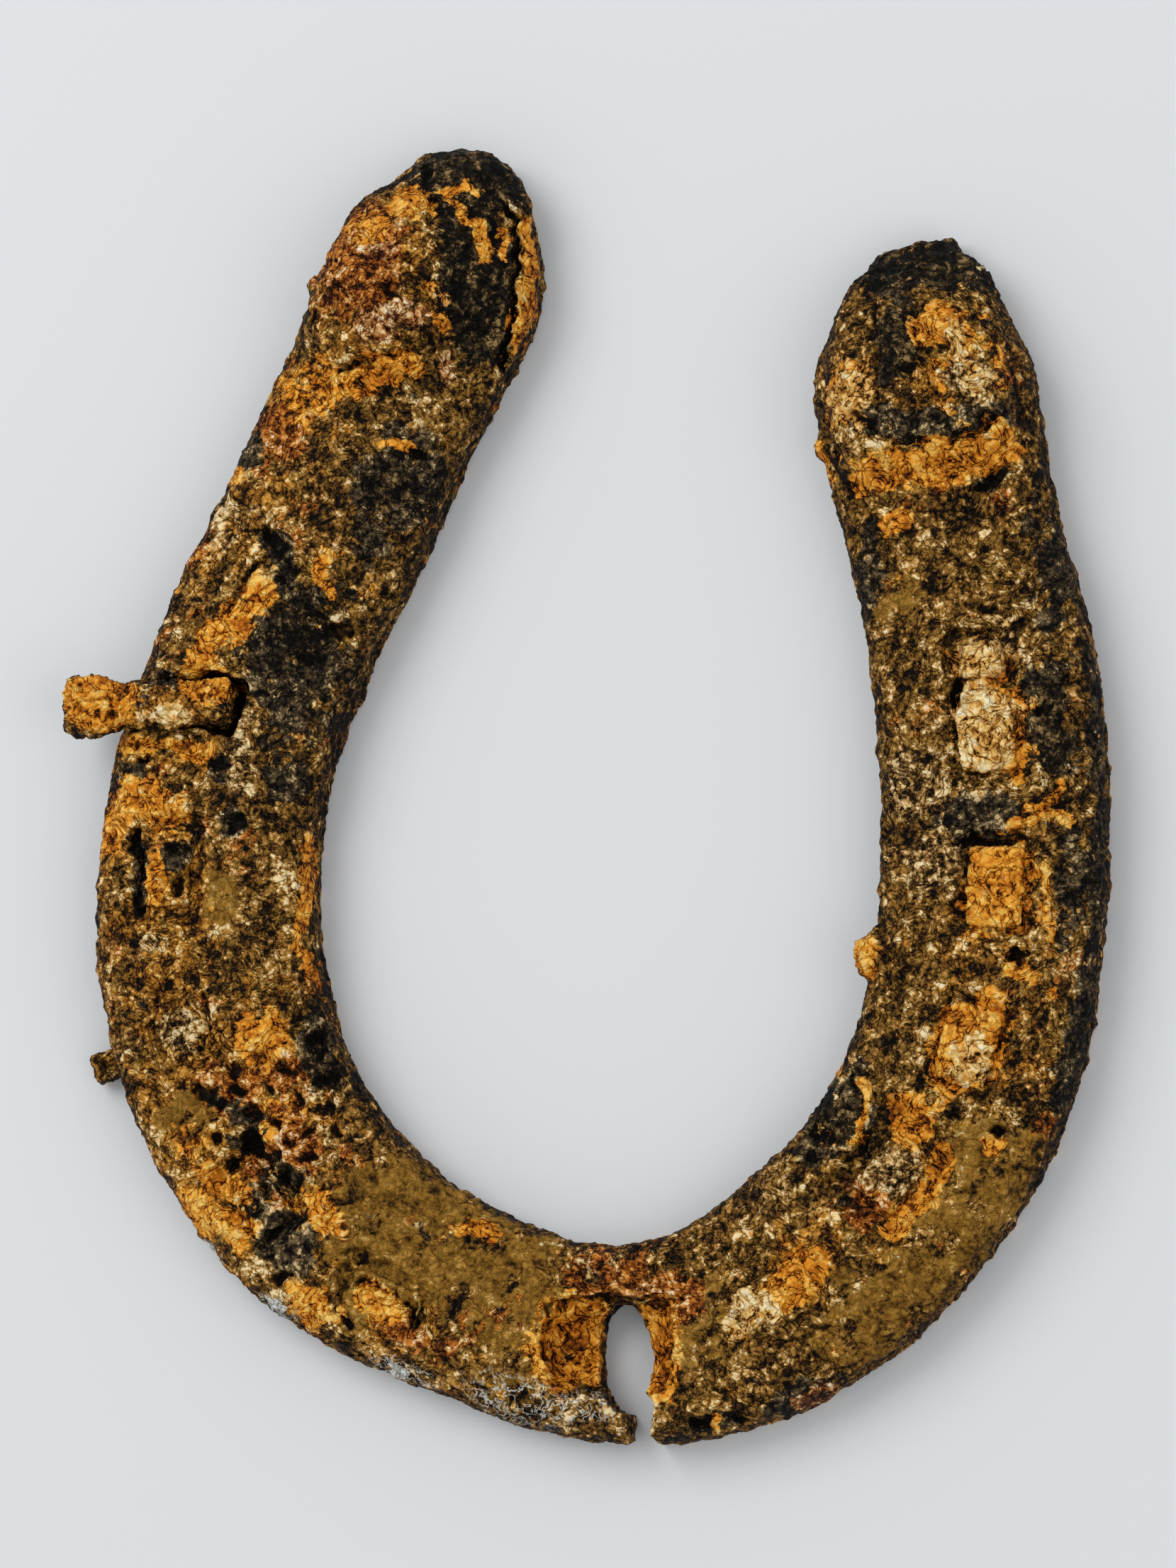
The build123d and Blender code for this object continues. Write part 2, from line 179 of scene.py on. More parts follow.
STREAKS = {
    "ochre": [
        (0.7, [(-15.5, 66.4), (-13.6, 66.6), (-12.0, 65.8)]),
        (0.6, [(-14.9, 65.2), (-13.9, 63.6), (-12.8, 62.4)]),
        (0.7, [(-11.8, 62.3), (-11.3, 58.6)]), (0.5, [(-9.6, 62.2), (-9.8, 58.9)]),
        (1.6, [(-29.2, 44.1), (-25.0, 45.2), (-20.2, 46.5)]),
        (1.0, [(-7.2, 63.0), (-6.4, 58.0), (-6.9, 52.8)]),
        (0.8, [(-8.6, 51.6), (-8.2, 47.8)]), (0.6, [(-24.0, 38.2), (-20.2, 38.5)]),
        (2.0, [(-39.5, 19.2), (-42.8, 17.0), (-43.6, 13.4), (-41.6, 11.6)]),
        (0.6, [(-29.3, 26.2), (-30.4, 23.8), (-29.0, 21.6)]),
        (1.0, [(-54.0, 6.0), (-48.0, 5.4), (-43.0, 4.4)]),
        (0.55, [(-31.4, -5.0), (-32.0, -11.3), (-32.8, -17.0), (-30.6, -21.4)]),
        (1.7, [(-45.4, -45.2), (-42.0, -47.6), (-39.2, -48.6)]),
        (1.4, [(39.0, -42.2), (37.4, -46.2), (33.6, -49.6)]),
        (0.6, [(30.4, -34.0), (31.0, -36.4), (29.3, -40.5)]),
        (0.7, [(28.4, -25.0), (27.2, -29.0), (26.6, -32.4)]),
        (0.7, [(50.4, -10.7), (51.0, -14.5), (50.6, -18.3)]),
        (0.6, [(48.2, -4.6), (51.0, -3.9), (52.4, -1.6)]),
        (0.6, [(46.8, -6.6), (50.0, -5.6), (53.2, -6.0)]),
        (2.5, [(32.4, 32.6), (37.0, 32.4), (41.5, 33.6), (45.6, 35.4)]),
        (0.5, [(25.6, 36.4), (26.6, 32.6)]),
    ],
    "dark": [
        (2.0, [(31.0, 38.6), (38.0, 37.0), (45.6, 38.6)]),
        # A dark band along the outer side of the short branch, down its wall.
        (1.6, [(56.0, 22.0), (57.0, 0.0), (56.0, -20.0), (52.0, -36.0)]),
        (0.8, [(-49.0, 12.8), (-43.6, 12.0)]), (1.0, [(-51.0, -5.0), (-50.4, -12.4)]),
    ],
}

# Pits and blisters: x, y, half width, half length, turn, and depth (blisters are negative)
PITS = [
    (-30.2, 52.4, 0.8, 1.0, 0, 0.9), (-21.3, 54.7, 1.0, 1.0, 0, 0.7), (-25.6, 49.3, 0.7, 0.6, 0, 0.6),
    (-19.4, 37.2, 1.0, 0.7, -20, 0.9), (-35.2, 27.6, 0.9, 1.8, 15, 1.1),
    (-33.6, 23.8, 1.2, 1.4, 0, 0.8),
    (-28.2, 17.6, 1.3, 1.1, 0, 1.1), (-30.6, 19.8, 0.8, 0.6, 0, 0.6), (-31.8, 14.8, 0.8, 0.9, 0, 0.7),
    (-39.7, -3.7, 1.3, 1.4, 0, 1.0), (-46.0, -6.4, 1.4, 0.9, 0, 0.9), (-46.2, -10.4, 0.9, 1.1, 0, 1.3),
    (-41.6, 2.9, 1.1, 1.2, 0, 0.6), (-50.4, 3.9, 0.6, 0.6, 0, 0.9), (-54.0, -4.6, 0.7, 1.2, 0, 0.7),
    (-45.8, -25.6, 0.9, 0.8, 0, 0.7), (-42.9, -33.5, 1.5, 0.9, -25, 1.0),
    (-40.6, -35.2, 0.6, 0.6, 0, 0.8),
    (-39.6, -31.4, 1.1, 0.9, 0, 0.7), (-37.0, -35.7, 1.1, 0.9, -40, 1.0),
    (-37.4, -39.2, 1.9, 1.3, -30, 1.3),
    (-35.4, -41.0, 1.2, 1.0, 0, 1.1), (-33.0, -43.2, 1.9, 1.3, -20, 1.4),
    (-33.8, -31.2, 1.2, 0.6, -15, 0.9),
    (-30.6, -28.2, 1.0, 1.6, 10, 1.2), (-29.4, -32.0, 1.2, 1.0, 0, 0.9),
    (-29.6, -35.4, 0.9, 0.9, 0, 0.7),
    (-28.4, -38.0, 0.6, 0.8, 0, 0.7), (-31.0, -38.2, 0.8, 0.6, 0, 0.6),
    (-38.2, -46.0, 1.5, 1.3, 0, 0.8),
    (-34.1, -53.9, 1.4, 0.7, 10, 0.9), (-27.6, -45.9, 1.2, 0.5, -20, 0.7),
    (-25.4, -51.6, 1.2, 0.5, 30, 0.6),
    (-19.8, -57.0, 0.5, 1.3, 10, 0.9), (-27.0, -58.4, 0.8, 1.2, 20, 0.9),
    (10.2, -56.6, 0.9, 0.6, 0, 0.8),
    (12.2, -69.8, 1.4, 0.6, 0, 1.1), (16.0, -69.4, 0.9, 0.6, 0, 0.9), (45.2, -39.3, 1.0, 0.8, 0, 1.3),
    (40.4, -37.4, 0.9, 0.7, 0, 0.9), (26.0, -39.6, 1.4, 1.2, 0, 0.9), (24.4, -41.4, 1.0, 0.8, 0, 0.7),
    (30.0, -32.6, 1.2, 0.7, 0, 0.7), (47.4, -20.6, 1.1, 1.0, 0, 1.4), (50.2, 6.4, 0.9, 1.0, 0, 0.9),
    (41.0, 8.2, 0.7, 1.6, 0, 1.1), (44.2, 17.2, 1.8, 0.8, 0, 0.7), (48.2, 15.4, 1.2, 0.8, 0, 0.7),
    (45.0, 31.5, 2.2, 0.9, 25, 1.3), (28.1, 35.4, 0.7, 0.8, 0, 1.1), (36.4, 43.4, 1.1, 0.7, 0, 0.8),
    (44.6, 38.0, 0.9, 0.7, 0, 0.8), (29.6, 31.0, 0.7, 1.3, 0, 0.6), (52.6, 9.6, 0.7, 0.9, 0, 0.6),
    (-38.8, -33.2, 0.8, 0.6, -20, 0.9), (-35.4, -33.6, 0.7, 0.8, 0, 0.8),
    (-41.2, -38.4, 0.8, 0.6, 0, 0.8),
    (-33.0, -39.4, 0.8, 0.7, 0, 0.9), (-36.0, -44.2, 0.9, 0.7, -30, 0.9),
    (-39.8, -41.2, 0.7, 0.9, 0, 0.9),
    (-32.2, -34.0, 0.7, 0.9, 10, 0.9), (-34.8, -37.0, 0.8, 0.6, 0, 0.9),
    (-30.8, -41.2, 0.8, 0.6, 0, 0.8),
    (-36.6, -29.6, 0.8, 0.6, 0, 0.7), (-43.4, -37.4, 0.6, 0.6, 0, 0.7),
    (-29.6, -44.0, 0.7, 0.5, 0, 0.7),
    (-15.8, 51.1, 0.9, 0.9, 0, -0.6), (-46.6, -27.2, 0.5, 0.5, 0, -0.5),
    (-44.4, -28.2, 1.2, 0.9, 0, -0.5),
    (20.6, -55.0, 0.9, 0.7, 0, -0.4), (9.6, -49.6, 1.2, 0.8, 20, -0.5),
    (14.8, -52.6, 1.0, 0.7, 0, -0.4),
]

# Grooves and ridges: half width, depth (ridges are negative), and the points they pass through
GROOVES = [
    (0.34, 1.5, [(-8.7, 64.0), (-8.2, 58.0), (-8.9, 52.6), (-10.2, 47.2)]),
    (0.5, 0.9, [(-27.3, 46.9), (-23.5, 47.5), (-20.4, 47.9), (-17.3, 48.8)]),
    (0.45, 0.8, [(-18.8, 69.6), (-17.4, 65.6), (-16.8, 62.6)]),
    (0.55, 1.2, [(-51.1, -4.6), (-50.6, -8.0), (-50.4, -12.6)]),
    (0.35, 0.6, [(-48.4, -22.0), (-49.0, -25.6), (-47.6, -29.8)]),
    (0.35, 0.6, [(-43.4, -22.8), (-42.6, -26.0), (-43.4, -29.0)]),
    (0.3, 0.4, [(-45.2, -36.4), (-41.0, -42.6)]), (0.3, 0.4, [(-36.4, -48.4), (-34.4, -53.0)]),
    (0.4, 0.8, [(-25.6, -54.6), (-21.4, -55.6), (-19.2, -58.6)]),
    (0.4, 0.7, [(30.4, 39.2), (33.0, 36.4), (38.6, 35.6), (44.6, 37.0), (46.6, 38.8)]),
    (0.3, 0.5, [(32.0, 51.0), (33.0, 44.0), (32.8, 39.6)]),
    (0.3, 0.5, [(36.8, 50.6), (37.8, 45.4), (39.2, 40.8)]), (0.3, 0.4, [(40.2, 47.4), (41.2, 43.4)]),
    (0.5, 0.8, [(47.8, -7.8), (43.6, -8.2), (41.4, -8.0)]),
    (0.4, 0.6, [(30.4, -40.8), (30.4, -36.2), (28.8, -33.2)]),
    (0.4, -0.5, [(50.4, -10.7), (51.0, -14.5), (50.6, -18.3)]),
    (0.4, -0.4, [(48.2, -4.6), (51.0, -3.9), (52.4, -1.6)]),
    (0.4, -0.4, [(46.8, -6.6), (50.0, -5.6), (53.2, -6.0)]),
    (0.4, 0.6, [(-51.6, 5.6), (-47.6, 5.0), (-43.4, 5.8)]),
    (0.4, 0.6, [(-40.2, 20.0), (-38.0, 24.6), (-36.0, 26.4)]),
    (0.3, 0.5, [(21.0, -62.4), (26.4, -59.6)]),
]


# Lumps of scale on the bar: x, y, z of the middle, half width, half length, half height and turn
BENT_NAIL_LUMPS = [(-47.6, 9.6, 10.0, 6.0, 2.9, 1.9, 0), (-55.4, 9.7, 9.2, 4.0, 3.4, 2.2, -6)]
LUMPS = [
    (-46.2, 13.9, 7.6, 3.4, 1.5, 2.6, -8), (-15.0, 63.2, 5.0, 8.2, 8.9, 5.2, 0),
    (-19.5, 57.5, 6.0, 11.0, 11.5, 6.6, -25),
    (37.3, 50.6, 4.6, 8.6, 8.4, 4.8, 0), (31.2, -20.0, 6.6, 2.2, 3.0, 1.7, 8),
    (32.4, -12.2, 6.0, 1.4, 0.7, 0.8, 0),
    (26.0, 36.4, 6.0, 1.3, 1.6, 3.0, 0), (-31.0, 56.8, 6.0, 1.5, 1.3, 3.0, 0),
]


def mm(point):
    """A point of the frame as millimetres from the middle of the shoe."""
    return (point - np.array([MIDDLE.x, MIDDLE.y, 0.0])) / MM


def spot_field(x, y, spots):
    """1 inside the spots, 0.5 on their outlines, fading to 0 outside."""
    field = np.zeros_like(x)
    for cx, cy, across, along, turn, *strength in spots:
        c, s = math.cos(math.radians(turn)), math.sin(math.radians(turn))
        u, v = (x - cx) * c + (y - cy) * s, (y - cy) * c - (x - cx) * s
        inside = np.clip(1.5 - np.hypot(u / across, v / along), 0.0, 1.0)
        full = strength[0] if strength else 1.25
        field = np.maximum(field, full * inside)
    return field


def line_distance(x, y, points):
    """Distance in plan from a line through some points."""
    best = np.full_like(x, 1e9)
    for (ax, ay), (bx, by) in zip(points, points[1:]):
        dx, dy = bx - ax, by - ay
        share = np.clip(((x - ax) * dx + (y - ay) * dy) / (dx * dx + dy * dy), 0.0, 1.0)
        best = np.minimum(best, np.hypot(x - ax - share * dx, y - ay - share * dy))
    return best


def streak_field(x, y, streaks):
    """1 along the streaks, 0.5 on their edges, fading to 0 outside."""
    field = np.zeros_like(x)
    for width, points in streaks:
        field = np.maximum(field, np.clip(1.5 - line_distance(x, y, points) / width, 0.0, 1.0))
    return field


def rough(points, size, octaves=3, shift=0.0):
    """Fractal noise at points in millimetres, about -1 to 1, whose largest features have a size."""
    offset = Vector((shift, -shift, 2 * shift))
    return np.array([noise.fractal(Vector(p) / size + offset, 1.0, 2.0, octaves) for p in points])


def ease(low, high, value):
    """Smooth step from 0 at low to 1 at high."""
    t = np.clip((value - low) / (high - low), 0.0, 1.0)
    return t * t * (3.0 - 2.0 * t)


# ---------------------------------------------------------------------------------------------
# Settings


class CrustSettings(bpy.types.PropertyGroup):
    """How thick and how coarse the corrosion is."""

    net: bpy.props.FloatProperty(
        name="Net", description="Size of the even faces that the crust is shaped on",
        default=0.42 * MM, min=0.2 * MM, unit="LENGTH", precision=5)
    nail_net: bpy.props.FloatProperty(
        name="Nail net", description="The same for the nails, which are smaller",
        default=0.3 * MM, min=0.2 * MM, unit="LENGTH", precision=5)
    swell: bpy.props.FloatProperty(
        name="Swell", description="Height of the broad swellings of the scale",
        default=0.9 * MM, unit="LENGTH", precision=5)
    crumble: bpy.props.FloatProperty(
        name="Crumble", description="Height of the crumbs and of the pits between them",
        default=0.78 * MM, unit="LENGTH", precision=5)
    grit: bpy.props.FloatProperty(
        name="Grit", description="Height of the finest grains that are modelled",
        default=0.6 * MM, unit="LENGTH", precision=5)
    most_faces: bpy.props.IntProperty(
        name="Most faces", description="Triangles that the shoe keeps", default=194000, min=10000)
    bump: bpy.props.FloatProperty(
        name="Grain relief", description="Relief of the grain that is too fine to model",
        default=0.35 * MM, unit="LENGTH", precision=5)


class StageSettings(bpy.types.PropertyGroup):
    """Table, light and camera."""

    table: bpy.props.FloatVectorProperty(
        name="Table", description="Colour of the table", default=(0.775, 0.80, 0.825),
        subtype="COLOR", min=0.0, max=1.0)
    sky: bpy.props.FloatProperty(
        name="Sky", description="Strength of the light from all round", default=0.57, min=0.0)
    lamp: bpy.props.FloatProperty(
        name="Lamp", description="Power of the main lamp in watts", default=3.4, min=0.0)
    distance: bpy.props.FloatProperty(
        name="Distance", description="From the middle of the shoe to the camera",
        default=0.82, unit="LENGTH")
    fill: bpy.props.FloatProperty(
        name="Fill", description="Share of the picture's height that the shoe takes",
        default=0.84, min=0.1, max=1.0)


# ---------------------------------------------------------------------------------------------
# Meshes


def only(piece):
    """Selects one piece and nothing else."""
    bpy.ops.object.select_all(action="DESELECT")
    piece.select_set(True)
    bpy.context.view_layer.objects.active = piece


def merged_copy(node, name):
    """A copy of a CAD piece with its loose triangles merged."""
    piece = bpy.data.objects.new(name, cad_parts[node].data.copy())
    bpy.context.scene.collection.objects.link(piece)
    only(piece)
    bpy.ops.object.mode_set(mode="EDIT")
    bpy.ops.mesh.select_all(action="SELECT")
    bpy.ops.mesh.remove_doubles(threshold=MERGE)
    bpy.ops.object.mode_set(mode="OBJECT")
    piece.data.materials.clear()
    return piece


def even_net(piece, face):
    """Rebuilds a piece as an even net of small faces."""
    only(piece)
    remesh = piece.modifiers.new("even_net", "REMESH")
    remesh.mode = "VOXEL"
    remesh.voxel_size = face
    bpy.ops.object.modifier_apply(modifier=remesh.name)


def pack_scale_round(shoe, node, growth, drop):
    """Fills the gap round a nail with scale: a wider, lower copy of the nail, joined to the bar."""
    packing = merged_copy(node, f"packing_{node}")
    low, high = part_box(node)
    centre = np.array((low + high) / 2)
    points = points_of(packing)
    wider = 1.0 + 2.0 * growth * MM / (np.array(high - low))
    points[:, :2] = centre[:2] + (points[:, :2] - centre[:2]) * wider[:2]
    points[:, 2] = np.maximum(points[:, 2] - drop * MM, PACKING_FLOOR)
    put_points(packing, points)
    only(shoe)
    packing.select_set(True)
    bpy.ops.object.join()


def add_lumps(shoe, lumps):
    """Joins rounded lumps of scale to the bar before its skin is rebuilt."""
    for x, y, z, across, along, high, turn in lumps:
        sized_primitive(bpy.ops.mesh.primitive_ico_sphere_add, (x, y, z), (across, along, high), turn,
                        subdivisions=4, radius=1.0)
        shoe.select_set(True)
        bpy.context.view_layer.objects.active = shoe
        bpy.ops.object.join()


def cut_away(piece, cutter):
    """Takes the shape of a cutter out of a piece and throws the cutter away."""
    only(piece)
    cut = piece.modifiers.new("cut_away", "BOOLEAN")
    cut.operation = "DIFFERENCE"
    cut.solver = "MANIFOLD"
    cut.object = cutter
    bpy.ops.object.modifier_apply(modifier=cut.name)
    bpy.data.objects.remove(cutter)


def sized_primitive(add, place, lengths, turn=0.0, **options):
    """A primitive one across, given its place and its size in millimetres from the middle of the shoe."""
    bpy.ops.object.select_all(action="DESELECT")
    add(location=(MIDDLE.x + place[0] * MM, MIDDLE.y + place[1] * MM, place[2] * MM), **options)
    shape = bpy.context.active_object
    shape.scale = [length * MM for length in lengths]
    shape.rotation_euler.z = math.radians(turn)
    bpy.ops.object.transform_apply(location=True, rotation=True, scale=True)
    return shape


def open_toe_hole(shoe, face):
    """Reshapes the toe hole as rust has left it: a sloping hollow, a pointed hole and the crack."""
    ball = bpy.ops.mesh.primitive_uv_sphere_add
    barrel = bpy.ops.mesh.primitive_cylinder_add
    block = bpy.ops.mesh.primitive_cube_add
    sized_primitive(block, (2.6, -61.9, 3.6), (12.5, 11.4, 5.6), size=1.0)
    shoe.select_set(True)
    bpy.context.view_layer.objects.active = shoe
    bpy.ops.object.join()
    even_net(shoe, face)
    cut_away(shoe, sized_primitive(ball, (2.0, -61.8, 9.4), (7.4, 5.9, 6.2), 0, radius=1.0))
    cut_away(shoe, sized_primitive(barrel, (3.3, -62.8, 4.0), (3.0, 6.0, 20.0), 3, radius=1.0, depth=1.0))
    cut_away(shoe, sized_primitive(block, (5.3, -70.6, 4.0), (2.7, 7.0, 20.0), -4, size=1.0))


def soften(piece, share, rounds):
    """Rounds off edges, where the share is high, by averaging the surface with itself."""
    points = points_of(piece)
    for _ in range(rounds):
        points += (averaged(piece, points, 1) - points) * share[:, None]
    put_points(piece, points)


def near_boxes(places, boxes, reach):
    """1 inside upright boxes in plan, fading to 0 at a distance from them, all in millimetres."""
    near = np.zeros(len(places))
    for low, high in boxes:
        out = np.maximum(np.maximum(low[:2] - places[:, :2], places[:, :2] - high[:2]), 0.0)
        near = np.maximum(near, 1.0 - ease(0.0, reach, np.hypot(out[:, 0], out[:, 1])))
    return near


def swell(piece, basis, size, height, depth=2, hard=False, group=""):
    """Moves the surface in and out along its normals by a noise of a size and height."""
    pattern = bpy.data.textures.new(f"{piece.name}_{basis.lower()}", "CLOUDS")
    pattern.noise_basis = basis
    pattern.noise_scale = size
    pattern.noise_depth = depth
    pattern.noise_type = "HARD_NOISE" if hard else "SOFT_NOISE"
    only(piece)
    move = piece.modifiers.new("swell", "DISPLACE")
    move.texture = pattern
    move.texture_coords = "LOCAL"
    move.strength = height
    move.mid_level = 0.5
    move.vertex_group = group
    bpy.ops.object.modifier_apply(modifier=move.name)


def points_of(piece):
    """The vertices as rows of x, y, z in metres."""
    flat = np.empty(len(piece.data.vertices) * 3)
    piece.data.vertices.foreach_get("co", flat)
    return flat.reshape(-1, 3)


def normals_of(piece):
    """The vertex normals as rows."""
    flat = np.empty(len(piece.data.vertices) * 3)
    piece.data.vertex_normals.foreach_get("vector", flat)
    return flat.reshape(-1, 3)


def put_points(piece, points):
    """Gives the vertices new places."""
    piece.data.vertices.foreach_set("co", points.astype(np.float32).ravel())
    piece.data.update()


def averaged(piece, values, rounds):
    """Each vertex's value averaged with its neighbours', a number of times."""
    ends = np.empty(len(piece.data.edges) * 2, dtype=np.int64)
    piece.data.edges.foreach_get("vertices", ends)
    a, b = ends.reshape(-1, 2).T
    count = np.bincount(ends, minlength=len(values)).astype(float)[:, None]
    for _ in range(rounds):
        total = np.empty_like(values)
        for k in range(values.shape[1]):
            total[:, k] = np.bincount(a, values[b, k], len(values))
            total[:, k] += np.bincount(b, values[a, k], len(values))
        values = 0.5 * values + 0.5 * total / np.maximum(count, 1.0)
    return values


def put_field(piece, name, values):
    """Stores one number per vertex for the materials."""
    field = piece.data.attributes.new(name, "FLOAT", "POINT")
    field.data.foreach_set("value", values.astype(np.float32))


def warped(places):
    """Places in plan, pushed about by noise so that nothing drawn on them has a clean outline."""
    x = places[:, 0] + 0.7 * rough(places, 2.6, 3, 3.0) + 0.35 * rough(places, 0.9, 2, 9.0)
    y = places[:, 1] + 0.7 * rough(places, 2.6, 3, 17.0) + 0.35 * rough(places, 0.9, 2, 23.0)
    return x, y


def carve(piece):
    """Pits, blisters, grooves and ridges, sunk straight down into the ground side."""
    points = points_of(piece)
    places = mm(points)
    up = ease(0.05, 0.5, averaged(piece, normals_of(piece), 4)[:, 2])
    x, y = warped(places)
    sink = np.zeros(len(points))
    for cx, cy, across, along, turn, depth in PITS:
        c, s = math.cos(math.radians(turn)), math.sin(math.radians(turn))
        u, v = (x - cx) * c + (y - cy) * s, (y - cy) * c - (x - cx) * s
        reach = np.hypot(u / across, v / along)
        sink += depth * (1.0 - ease(0.55, 1.25, reach))
    for half, depth, line in GROOVES:
        sink += depth * (1.0 - ease(0.4 * half, 1.5 * half, line_distance(x, y, line)))
    points[:, 2] -= sink * up * MM
    put_points(piece, points)


def rest_on_table(piece):
    """Presses what has swollen through the underside back up to the table."""
    points = points_of(piece)
    points[:, 2] = np.maximum(points[:, 2], 0.0)
    put_points(piece, points)


def thin_out(piece, most):
    """Joins faces where the surface is plainest until there are few enough."""
    piece.data.calc_loop_triangles()
    there = len(piece.data.loop_triangles)
    if there <= most:
        return
    only(piece)
    fewer = piece.modifiers.new("fewer", "DECIMATE")
    fewer.ratio = most / there
    fewer.use_collapse_triangulate = True
    bpy.ops.object.modifier_apply(modifier=fewer.name)


def paint_fields(piece, strength=1.0):
    """Stores where each kind of rust is and where glints are painted, how far each point stands proud of
    its neighbours, and how steep it is, which paints shade on walls.
    """
    points = points_of(piece)
    places = mm(points)
    normals = normals_of(piece)
    broad = averaged(piece, points, 14)
    relief = ((points - broad) * normals).sum(axis=1) / MM
    calm = averaged(piece, normals, 6)
    up = ease(-0.15, 0.35, calm[:, 2])
    x, y = warped(places)
    drift = rough(places, 7.0, 3, 41.0)
    patches = rough(places, 4.0, 3, 57.0)
    for kind, spots in SPOTS.items():
        drawn = np.maximum(spot_field(x, y, spots), streak_field(x, y, STREAKS.get(kind, [])))
        put_field(piece, kind, strength * drawn * up)
    put_field(piece, "drift", drift)
    put_field(piece, "patches", patches)
    put_field(piece, "relief", relief)
    # Steepness: steep walls are darkened in the material, as painted shade.
    put_field(piece, "steep_shade", 1.0 - ease(0.35, 0.8, np.abs(normals[:, 2])))


def shade(piece, material):
    """Smooth faces and one material all over."""
    piece.data.materials.clear()
    piece.data.materials.append(material)
    only(piece)
    bpy.ops.object.shade_smooth()


# ---------------------------------------------------------------------------------------------
# Materials


def linear(red, green, blue):
    """A colour as it is seen, 0 to 255, as the linear light that a shader needs."""
    def channel(value):
        share = value / 255
        return share / 12.92 if share <= 0.04045 else ((share + 0.055) / 1.055) ** 2.4
    return channel(red), channel(green), channel(blue), 1.0


class Nodes:
    """A short way to add nodes to a material and join them."""

    def __init__(self, material):
        material.use_nodes = True
        self.tree = material.node_tree
        self.tree.nodes.clear()

    def add(self, kind, inputs=(), **values):
        """A node with its inputs set or linked, given by name or number."""
        node = self.tree.nodes.new(kind)
        for key, value in values.items():
            setattr(node, key, value)
        for key, value in dict(inputs).items():
            if isinstance(value, bpy.types.NodeSocket):
                self.tree.links.new(value, node.inputs[key])
            else:
                node.inputs[key].default_value = value
        return node

    def math(self, operation, first, second=0.0, third=0.0):
        """One sum of up to three numbers."""
        return self.add("ShaderNodeMath", {0: first, 1: second, 2: third}, operation=operation).outputs[0]

    def between(self, value, low, high):
        """0 below low, 1 above high, and a smooth step from one to the other."""
        node = self.add("ShaderNodeMapRange", {"Value": value, "From Min": low, "From Max": high},
                        interpolation_type="SMOOTHSTEP")
        return node.outputs["Result"]

    def field(self, name):
        """A number stored at the piece's vertices."""
        return self.add("ShaderNodeAttribute", attribute_name=name).outputs["Fac"]

    def noise(self, place, size, detail=3.0, roughness=0.6, distortion=0.0):
        """Noise whose features have a size in metres."""
        node = self.add("ShaderNodeTexNoise", {
            "Vector": place, "Scale": 1.0 / size, "Detail": detail, "Roughness": roughness,
            "Distortion": distortion})
        return node.outputs["Fac"]

    def cells(self, place, size, feature="F1"):
        """Distance to the middle of the nearest of many cells."""
        node = self.add("ShaderNodeTexVoronoi", {"Vector": place, "Scale": 1.0 / size}, feature=feature)
        return node.outputs["Distance"]

    def cell_colours(self, place, size):
        """Three random numbers for each of many cells."""
        node = self.add("ShaderNodeTexVoronoi", {"Vector": place, "Scale": 1.0 / size})
        return self.add("ShaderNodeSeparateColor", {"Color": node.outputs["Color"]}).outputs[:3]

    def pushed_about(self, place, size, reach):
        """Coordinates pushed about by noise of a size."""
        node = self.add("ShaderNodeTexNoise", {"Vector": place, "Scale": 1.0 / size, "Detail": 3.0})
        centred = self.add(
            "ShaderNodeVectorMath", {0: node.outputs["Color"], 1: (0.5, 0.5, 0.5)}, operation="SUBTRACT")
        return self.add("ShaderNodeVectorMath", {0: centred.outputs[0], 1: (reach,) * 3, 2: place},
                        operation="MULTIPLY_ADD").outputs[0]

    def blend_of(self, start, parts):
        """A start value and then, for each part, its distance from its own middle times its share."""
        total = start
        for value, middle, share in parts:
            total = self.math("MULTIPLY_ADD", value, share, self.math("ADD", total, -middle * share))
        return total

    def ramp(self, value, stops):
        """A colour read off a row of stops, each a place from 0 to 1 and a seen colour."""
        node = self.add("ShaderNodeValToRGB", {"Fac": value})
        points = node.color_ramp.elements
        while len(points) < len(stops):
            points.new(0.5)
        for point, (place, colour) in zip(points, stops):
            point.position = place
            point.color = linear(*colour)
        return node.outputs["Color"]

    def mix(self, share, under, over):
        """One colour over another."""
        node = self.add("ShaderNodeMix", {0: share, 6: under, 7: over}, data_type="RGBA")
        return node.outputs[2]


